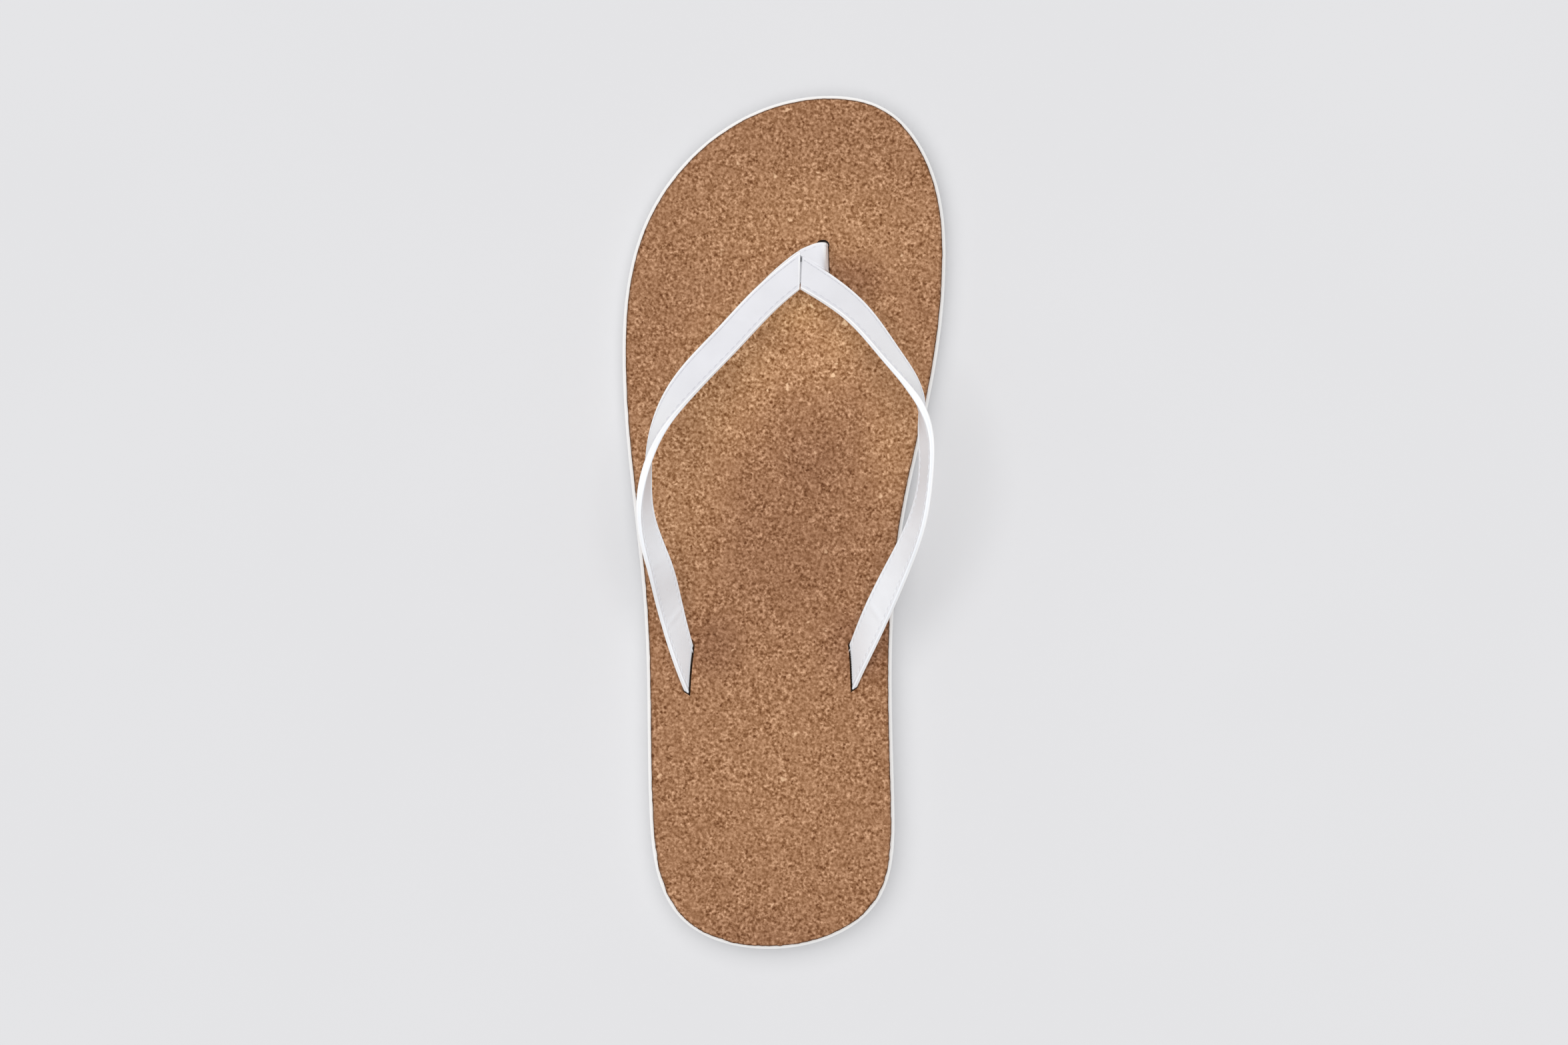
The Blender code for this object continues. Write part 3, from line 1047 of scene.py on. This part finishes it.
def ragged_places(tree, given, scale, detail, amount):
    """Places divided by the size, and pushed about by noise so that cells' edges wander."""
    place = calculate_vector(tree, "DIVIDE", given["Position"], on_each_axis(tree, given["Size"]))
    shift = noise(tree, place, scale, detail)["Color"]
    shift = calculate_vector(tree, "SUBTRACT", shift, (0.5, 0.5, 0.5))
    return calculate_vector(tree, "MULTIPLY_ADD", shift, amount, place)


def granules_group():
    """Pressed granules: a random tone for each, a mask of their middles, and their height."""
    outputs = ("Tone", "Middle", "Height")
    tree, given, result = shader_group("granules", outputs, Size=1.0, Raggedness=0.3)
    place = ragged_places(tree, given, 2.3, 2.0, on_each_axis(tree, given["Raggedness"]))
    cells = node(tree, "TexVoronoi", {"Vector": place, "Scale": 1.0})
    edges = node(tree, "TexVoronoi", {"Vector": place, "Scale": 1.0}, feature="DISTANCE_TO_EDGE")
    tone = node(tree, "SeparateColor", {"Color": cells.outputs["Color"]}).outputs[0]
    middle = rescale(tree, edges.outputs["Distance"], 0.0, 0.16)
    connect(tree, result, Tone=tone, Middle=middle, Height=multiply(tree, tone, 0.5, middle))


def specks_group():
    """Scattered soft specks of uneven size: a share of a random pattern's cells hold one each."""
    tree, given, result = shader_group("specks", ("Mask",), Size=1.0, Share=0.5, Radius=0.3)
    place = ragged_places(tree, given, 2.0, 1.0, (0.6, 0.6, 0.6))
    cells = node(tree, "TexVoronoi", {"Vector": place, "Scale": 1.0}).outputs
    random = node(tree, "SeparateColor", {"Color": cells["Color"]}).outputs
    chosen = calculate(tree, "LESS_THAN", random[0], given["Share"])
    uneven = multiply(tree, random[1], 0.8, 0.6)
    radius = multiply(tree, given["Radius"], uneven)
    solid = multiply(tree, radius, 0.35)
    mask = rescale(tree, cells["Distance"], radius, solid)
    connect(tree, result, Mask=multiply(tree, mask, chosen))


def grain_group():
    """Fine surface grain: pebbles with creases between them, and a slow uneven swell."""
    tree, given, result = shader_group("grain", ("Height", "Tone"), Size=0.5, Swell=6.0)
    fine = calculate(tree, "DIVIDE", 1.0, given["Size"])
    slow = calculate(tree, "DIVIDE", 1.0, given["Swell"])
    place = given["Position"]
    pebbles = node(tree, "TexVoronoi", {"Vector": place, "Scale": fine}, feature="SMOOTH_F1")
    rough = noise(tree, place, fine, 3.0)[0]
    height = multiply(tree, pebbles.outputs["Distance"], -0.6, rough)
    connect(tree, result, Height=height, Tone=noise(tree, place, slow, 2.0)[0])


def patch_group():
    """A soft oval patch: 1 in its middle and 0 past its radii."""
    sizes = {"Centre": (0.0, 0.0, 0.0), "Radii": (1.0, 1.0, 1.0)}
    tree, given, result = shader_group("patch", ("Mask",), **sizes)
    away = calculate_vector(tree, "SUBTRACT", given["Position"], given["Centre"])
    away = calculate_vector(tree, "DIVIDE", away, given["Radii"])
    far = node(tree, "VectorMath", {0: away}, operation="LENGTH").outputs["Value"]
    connect(tree, result, Mask=rescale(tree, far, 1.0, 0.15))


def scuffs_group():
    """Faint rubbed and dusty spots, where two slow noises are both high."""
    tree, given, result = shader_group("scuffs", ("Mask",), Size=8.0, Cover=0.5)
    slow = calculate(tree, "DIVIDE", 1.0, given["Size"])
    fine = multiply(tree, slow, 5.0)
    broad = noise(tree, given["Position"], slow, 3.0)[0]
    small = noise(tree, given["Position"], fine, 4.0)[0]
    both = multiply(tree, broad, small)
    start = calculate(tree, "SUBTRACT", 0.45, multiply(tree, given["Cover"], 0.25))
    end = calculate(tree, "ADD", start, 0.12)
    connect(tree, result, Mask=rescale(tree, both, start, end))


# ---- Materials ----

# Cork: colours of its grain, each with its place between dark and pale. Every pattern of the
# grain moves it along this range.
CORK_COLOURS = (
    # place, red, green, blue
    (0.00, 0.134, 0.043, 0.010),
    (0.29, 0.239, 0.103, 0.040),
    (0.50, 0.339, 0.164, 0.078),
    (0.71, 0.459, 0.243, 0.130),
    (1.00, 0.667, 0.388, 0.229),
)

# Patches of painted light and shade on the cork: pools of painted light behind the crossing and
# along the straps, where the straps' shadows fall, painted shadows beside the toe post and round
# the rear slots, a darker patch under the arch, and broader lighter and darker areas at the toe
# and the heel.
CORK_LIGHT_AND_SHADE_PATCHES = (
    # x, y, wide, long, times as bright
    (1.0, -9.0, 41.0, 34.0, 0.87),
    (9.0, 55.0, 37.0, 26.0, 1.40),
    (1.0, 65.0, 20.0, 11.0, 1.43),
    (-17.0, 44.0, 21.0, 31.0, 1.39),
    (35.0, 30.0, 16.0, 34.0, 1.28),
    (-32.0, 11.0, 23.0, 50.0, 1.26),
    (-21.0, -37.0, 13.0, 15.0, 0.78),
    (25.0, -37.0, 19.0, 16.0, 0.73),
    (10.0, 87.0, 55.0, 31.0, 1.21),
    (20.0, 73.0, 16.0, 11.0, 0.71),
    (9.0, 18.0, 16.0, 15.0, 0.85),
    (-2.0, -73.0, 44.0, 42.0, 1.09),
    (-6.0, -128.0, 40.0, 17.0, 0.86),
    (19.0, 56.0, 13.0, 10.0, 1.17),
)

ANY_HEIGHT = 1000.0

# Red changes less than green and blue under the patches' painted light and shade.
RED_FOLLOWS = 0.8

PALE_CHIP = (0.76, 0.49, 0.30)
CHIP_COVER = 0.7
CORK_EDGE_SHADE_COLOUR = (0.34, 0.32, 0.32)

# The grain is turned, so that no part of it lines up with the shoe. These are how coarse its
# noises are, and how strongly each pattern moves it, towards dark where that is below 0.
GRAIN_TURN = (0.6, 0.4, 0.5)
GRAIN_SCALE, GRAIN_STRENGTH = 1.08, 1.42
FINE_SCALE, FINE_STRENGTH = 1.9, 0.95
CROWD_SCALE = 0.21
GRANULE_STRENGTH = 0.12
PIT_STRENGTH = -0.46
FLECK_STRENGTH = 0.37
CHIP_STRENGTH = 0.42


def colour_range(tree, value, rows):
    """Colours between the rows' places for a value from 0 to 1."""
    made = node(tree, "ValToRGB", {"Fac": value})
    elements = made.color_ramp.elements
    while len(elements) < len(rows):
        elements.new(1.0)
    for element, (at, *colour) in zip(elements, rows):
        element.position = at
        element.color = (*colour, 1)
    return made.outputs[0]


def cork_material():
    """Fine pressed cork: a mottled grain, dark pits and a few pale chips, denser in places.

    Painted shade darkens its edge, which the footbed's rim attribute marks, and patches of painted
    light and shade brighten and darken it.
    """
    made, tree, shader = new_material("pressed cork")
    place = position_in_mm(tree)
    turned = node(tree, "Mapping", {"Vector": place, "Rotation": GRAIN_TURN}).outputs[0]
    grain = noise(tree, turned, GRAIN_SCALE, 0.5)[0]
    fine = noise(tree, turned, FINE_SCALE, 1.0)[0]
    crowd = rescale(tree, noise(tree, turned, CROWD_SCALE, 2.0)[0], 0.36, 0.60, 0.62, 1.04)
    granules = use_group(tree, "granules", Position=turned, Size=1.3, Raggedness=0.5)
    pits = use_group(tree, "specks", Position=turned, Size=1.7, Share=0.50, Radius=0.26)
    flecks = use_group(tree, "specks", Position=turned, Size=1.6, Share=0.45, Radius=0.24)
    chips = use_group(tree, "specks", Position=turned, Size=5.0, Share=0.22, Radius=0.15)
    value = 0.0
    for pattern, strength in (
        (grain, GRAIN_STRENGTH), (fine, FINE_STRENGTH), (granules["Tone"], GRANULE_STRENGTH)
    ):
        pattern = calculate(tree, "SUBTRACT", pattern, 0.5)
        value = multiply(tree, pattern, strength, value)
    for pattern, strength in ((pits["Mask"], PIT_STRENGTH), (flecks["Mask"], FLECK_STRENGTH)):
        value = multiply(tree, pattern, strength, value)
    value = multiply(tree, value, crowd, 0.5)
    value = multiply(tree, chips["Mask"], CHIP_STRENGTH, value)
    colour = colour_range(tree, value, CORK_COLOURS)
    pale = multiply(tree, chips["Mask"], CHIP_COVER)
    colour = blend_colours(tree, pale, colour, PALE_CHIP)
    shade = 1.0
    # Each patch multiplies the cork's colour: painted light where it brightens, painted shade where
    # it darkens.
    for x, y, wide, long, bright in CORK_LIGHT_AND_SHADE_PATCHES:
        centre, radii = (x, y, 0.0), (wide, long, ANY_HEIGHT)
        patch = use_group(tree, "patch", Position=place, Centre=centre, Radii=radii)
        change = multiply(tree, patch["Mask"], bright - 1, 1.0)
        shade = multiply(tree, shade, change)
    red = calculate(tree, "POWER", shade, RED_FOLLOWS)
    shade = node(tree, "CombineXYZ", {"X": red, "Y": shade, "Z": shade}).outputs[0]
    colour = blend_colours(tree, 1.0, colour, shade, mode="MULTIPLY")
    # Painted shade along the cork's edge, from the rim attribute.
    rim = three_parts(tree, own_values(tree, "rim"))["X"]
    colour = blend_colours(tree, rim, colour, CORK_EDGE_SHADE_COLOUR, mode="MULTIPLY")
    height = multiply(tree, granules["Height"], 0.3, value)
    connect(tree, shader, Base_Color=colour, Roughness=rescale(tree, value, 0.2, 0.8, 0.86, 0.72),
            Specular_IOR_Level=0.30, Normal=relief(tree, height, 0.10))
    return made


# Straps: a grey-white field between whiter rims, of which the front one is wider, and backs of
# another white, paler partly of their own and partly as painted light on faces turned from the
# light. The face's colours blend into the back's this far each way from the middle of the band's
# thickness.
STRAP_FIELD = (0.77, 0.77, 0.805)
STRAP_RIM = (0.93, 0.93, 0.935)
STITCH_HOLE_SHADE = (0.36, 0.36, 0.40)
STRAP_BACK = (0.91, 0.93, 0.965)
STRAP_DUST = (0.55, 0.52, 0.50)
SEAM_SHADE = (0.20, 0.20, 0.21)
POCKET_SHADE_BROWN = (0.050, 0.030, 0.018)
RIM_WIDTH = 0.22
FRONT_RIM_WIDTH = 0.60
RIM_BLEND = 0.12
BACK_BLEND = 0.15


def leather_material():
    """Coated leather with white rims, paler backs, a faint uneven tone and a little dust.

    The rims go by the distance across. Painted shade faintly darkens the groove where the stitches
    are, and darkens a hole between each two more. Marks add white, painted highlights or painted
    shade, and the darkest painted shade is brown.
    """
    made, tree, shader = new_material("white strap leather")
    band_place = own_values(tree, "band")
    parts = three_parts(tree, band_place)
    across = calculate(tree, "ABSOLUTE", parts["Y"])
    marks = three_parts(tree, own_values(tree, "marks"))
    grain = use_group(tree, "grain", Position=band_place, Size=0.42, Swell=9.0)
    scuffs = use_group(tree, "scuffs", Position=position_in_mm(tree), Size=7.0, Cover=0.25)
    edge = STRAP_WIDTH / 2 - RIM_WIDTH
    rim = multiply(tree, marks["Z"], FRONT_RIM_WIDTH - RIM_WIDTH, across)
    rim = rescale(tree, rim, edge - RIM_BLEND, edge + RIM_BLEND)
    # White from the marks holds white edges and painted highlights. Their shade is painted shade.
    white = calculate(tree, "MAXIMUM", marks["Y"], 0.0)
    shade = calculate(tree, "MAXIMUM", multiply(tree, marks["Y"], -1.0), 0.0)
    rim = calculate(tree, "MAXIMUM", multiply(tree, rim, marks["X"]), white)
    colour = blend_colours(tree, rim, STRAP_FIELD, STRAP_RIM)
    # Paler backs: partly their own white, partly painted light.
    back = rescale(tree, parts["Z"], BACK_BLEND, -BACK_BLEND)
    colour = blend_colours(tree, back, colour, STRAP_BACK)
    # Painted shade in the stitch groove, darkest at the holes between stitches.
    groove = calculate(tree, "SUBTRACT", across, STRAP_WIDTH / 2 - STITCH_INSET)
    groove = rescale(tree, calculate(tree, "ABSOLUTE", groove), 0.22, 0.05)
    hole = calculate(tree, "PINGPONG", parts["X"], STITCH_PITCH / 2)
    hole = multiply(tree, groove, rescale(tree, hole, 0.80, 1.10))
    groove = multiply(tree, hole, 0.45, multiply(tree, groove, 0.06))
    groove = multiply(tree, groove, multiply(tree, marks["Z"], 0.8, 0.2))
    groove = multiply(tree, groove, multiply(tree, back, -0.6, 1.0))
    colour = blend_colours(tree, groove, colour, STITCH_HOLE_SHADE)
    # Painted shade from the marks: grey, and brown where it is darkest.
    colour = blend_colours(tree, shade, colour, SEAM_SHADE)
    colour = blend_colours(tree, rescale(tree, shade, 0.95, 1.1), colour, POCKET_SHADE_BROWN)
    colour = mottle(tree, colour, grain["Tone"], 0.975, 1.02)
    dust = multiply(tree, scuffs["Mask"], 0.10)
    colour = blend_colours(tree, dust, colour, STRAP_DUST)
    rough = multiply(tree, grain["Height"], 0.10, 0.42)
    connect(tree, shader, Base_Color=colour, Roughness=rough, Specular_IOR_Level=0.40,
            Normal=relief(tree, grain["Height"], 0.025))
    return made


# Thread: painted shade between its plies, its own colour on them, and on the straps' backs.
THREAD_PLY_SHADE = (0.62, 0.62, 0.66)
THREAD_PALE = (0.76, 0.76, 0.80)
BACK_THREAD = (0.80, 0.81, 0.84)


def thread_material():
    """Twisted thread: fine slanting plies along each stitch, a sine of the run and the height, with
    painted shade between them.
    """
    made, tree, shader = new_material("pale thread")
    parts = three_parts(tree, own_values(tree, "band"))
    twist = multiply(tree, parts["X"], 16.0)
    twist = multiply(tree, parts["Z"], 9.0, twist)
    plies = multiply(tree, calculate(tree, "SINE", twist), 0.5, 0.5)
    grain = use_group(tree, "grain", Position=position_in_mm(tree), Size=0.12, Swell=5.0)
    colour = blend_colours(tree, plies, THREAD_PLY_SHADE, THREAD_PALE)
    back = rescale(tree, parts["Z"], BACK_BLEND, -BACK_BLEND)
    colour = blend_colours(tree, back, colour, BACK_THREAD)
    height = multiply(tree, grain["Height"], 0.3, plies)
    connect(tree, shader, Base_Color=colour, Roughness=0.6, Normal=relief(tree, height, 0.04))
    return made


# Foam: painted shade darkens its pockets brown, round the toe post and the strap ends.
FOAM_WHITE = (0.965, 0.965, 0.955)
FOAM_DUST = (0.60, 0.565, 0.52)
DUST_LEVEL = 5.0
POCKET_SHADE_PATCHES = (
    # x, y, wide, long
    (*HOLE_MIDDLE, 12.0, 14.0),
    (-29.0, -44.0, 9.0, 24.0),
    (20.5, -43.0, 9.0, 24.0),
)
POCKET_LEVEL = 13.0
POCKET_HEIGHT = 12.0


def foam_material():
    """Moulded foam: fine closed cells, and a little dust low down and underneath."""
    made, tree, shader = new_material("white foam")
    place = position_in_mm(tree)
    cells = use_group(tree, "granules", Position=place, Size=0.45, Raggedness=0.2)
    grain = use_group(tree, "grain", Position=place, Size=0.8, Swell=18.0)
    scuffs = use_group(tree, "scuffs", Position=place, Size=10.0, Cover=0.55)
    low = rescale(tree, three_parts(tree, place)["Z"], DUST_LEVEL, 0.0)
    dust = multiply(tree, low, 0.22, 0.03)
    dust = multiply(tree, scuffs["Mask"], dust)
    colour = mottle(tree, FOAM_WHITE, grain["Tone"], 0.98, 1.01)
    colour = blend_colours(tree, dust, colour, FOAM_DUST)
    # Painted shade: the pockets round the toe post and the strap ends are darkened to brown.
    for x, y, wide, long in POCKET_SHADE_PATCHES:
        centre, radii = (x, y, POCKET_LEVEL), (wide, long, POCKET_HEIGHT)
        pocket_shade = use_group(tree, "patch", Position=place, Centre=centre, Radii=radii)
        colour = blend_colours(tree, pocket_shade["Mask"], colour, POCKET_SHADE_BROWN)
    bump = multiply(tree, cells["Height"], 0.4, grain["Height"])
    rough = multiply(tree, grain["Height"], 0.15, 0.52)
    connect(tree, shader, Base_Color=colour, Roughness=rough, Specular_IOR_Level=0.35,
            Normal=relief(tree, bump, 0.03))
    return made


FLOOR_GREY = (0.715, 0.715, 0.728)


def floor_material():
    """Dull pale grey, with a barely uneven tone."""
    made, tree, shader = new_material("pale floor")
    grain = use_group(tree, "grain", Position=position_in_mm(tree), Size=1.5, Swell=90.0)
    colour = mottle(tree, FLOOR_GREY, grain["Tone"], 0.995, 1.005)
    connect(tree, shader, Base_Color=colour, Roughness=0.9, Specular_IOR_Level=0.0)
    return made


# ---- Floor, light and camera ----

# The floor's and the camera's sizes are in metres, the sensor's in millimetres, and the key
# light's heading, height above the floor and spread in degrees.
FLOOR_SIZE = 6.0
KEY_HEADING = 128.0
KEY_HEIGHT = 82.0
KEY_SPREAD = 50.0
KEY_STRENGTH = 1.62
SKY = (1.0, 1.0, 1.005)
SKY_STRENGTH = 0.58

CAMERA_HEIGHT = 1.6
CORK_LEVEL = 0.015
VIEW_WIDTH = 0.4725
SENSOR_WIDTH = 36.0


def add_floor(finish):
    """A plain square at the level that the sole stands on."""
    half = FLOOR_SIZE / 2
    mesh = bpy.data.meshes.new("floor")
    corners = [(-half, -half, 0), (half, -half, 0), (half, half, 0), (-half, half, 0)]
    mesh.from_pydata(corners, [], [(0, 1, 2, 3)])
    mesh.materials.append(finish)
    add_object("floor", mesh)


def add_light():
    """A broad soft key from the little toe's side of the toe, and an even white sky."""
    sun = bpy.data.lights.new("soft key", "SUN")
    sun.energy = KEY_STRENGTH
    sun.angle = np.radians(KEY_SPREAD)
    heading, height = np.radians(KEY_HEADING), np.radians(KEY_HEIGHT)
    towards = Vector((
        np.cos(heading) * np.cos(height), np.sin(heading) * np.cos(height), np.sin(height)
    ))
    add_object("soft key", sun).rotation_euler = towards.to_track_quat("Z", "Y").to_euler()
    world = bpy.data.worlds.new("even sky")
    world.use_nodes = True
    sky = world.node_tree.nodes["Background"].inputs
    sky["Color"].default_value = (*SKY, 1)
    sky["Strength"].default_value = SKY_STRENGTH
    bpy.context.scene.world = world


def add_camera():
    """Straight above the shoe, with its toe at the top of the view."""
    camera = bpy.data.cameras.new("camera")
    camera.sensor_width = SENSOR_WIDTH
    camera.lens = SENSOR_WIDTH * CAMERA_HEIGHT / VIEW_WIDTH
    camera.clip_start = 0.01
    camera.clip_end = 20.0
    holder = add_object("camera", camera)
    holder.location = (0, 0, CORK_LEVEL + CAMERA_HEIGHT)
    bpy.context.scene.camera = holder


# ---- The shoe ----


def main():
    """Makes the straps, the sole and footbed with the straps' slots, and the scene round them."""
    for add_effect in (granules_group, specks_group, grain_group, patch_group, scuffs_group):
        add_effect()
    outer, inner, post = add_straps(leather_material(), thread_material())
    slots = [
        slot_cutter("outer slot", outer, STRAP, STRAP_SLOT),
        slot_cutter("inner slot", inner, STRAP, STRAP_SLOT),
        slot_cutter("toe slot", post, POST, POST_SLOT),
        hole_cutter("toe hole"),
    ]
    add_sole(foam_material(), slots)
    add_footbed(cork_material(), slots)
    for cutter in slots:
        bpy.data.objects.remove(cutter)
    add_floor(floor_material())
    add_light()
    add_camera()
    bpy.context.scene.view_settings.view_transform = "Standard"


main()
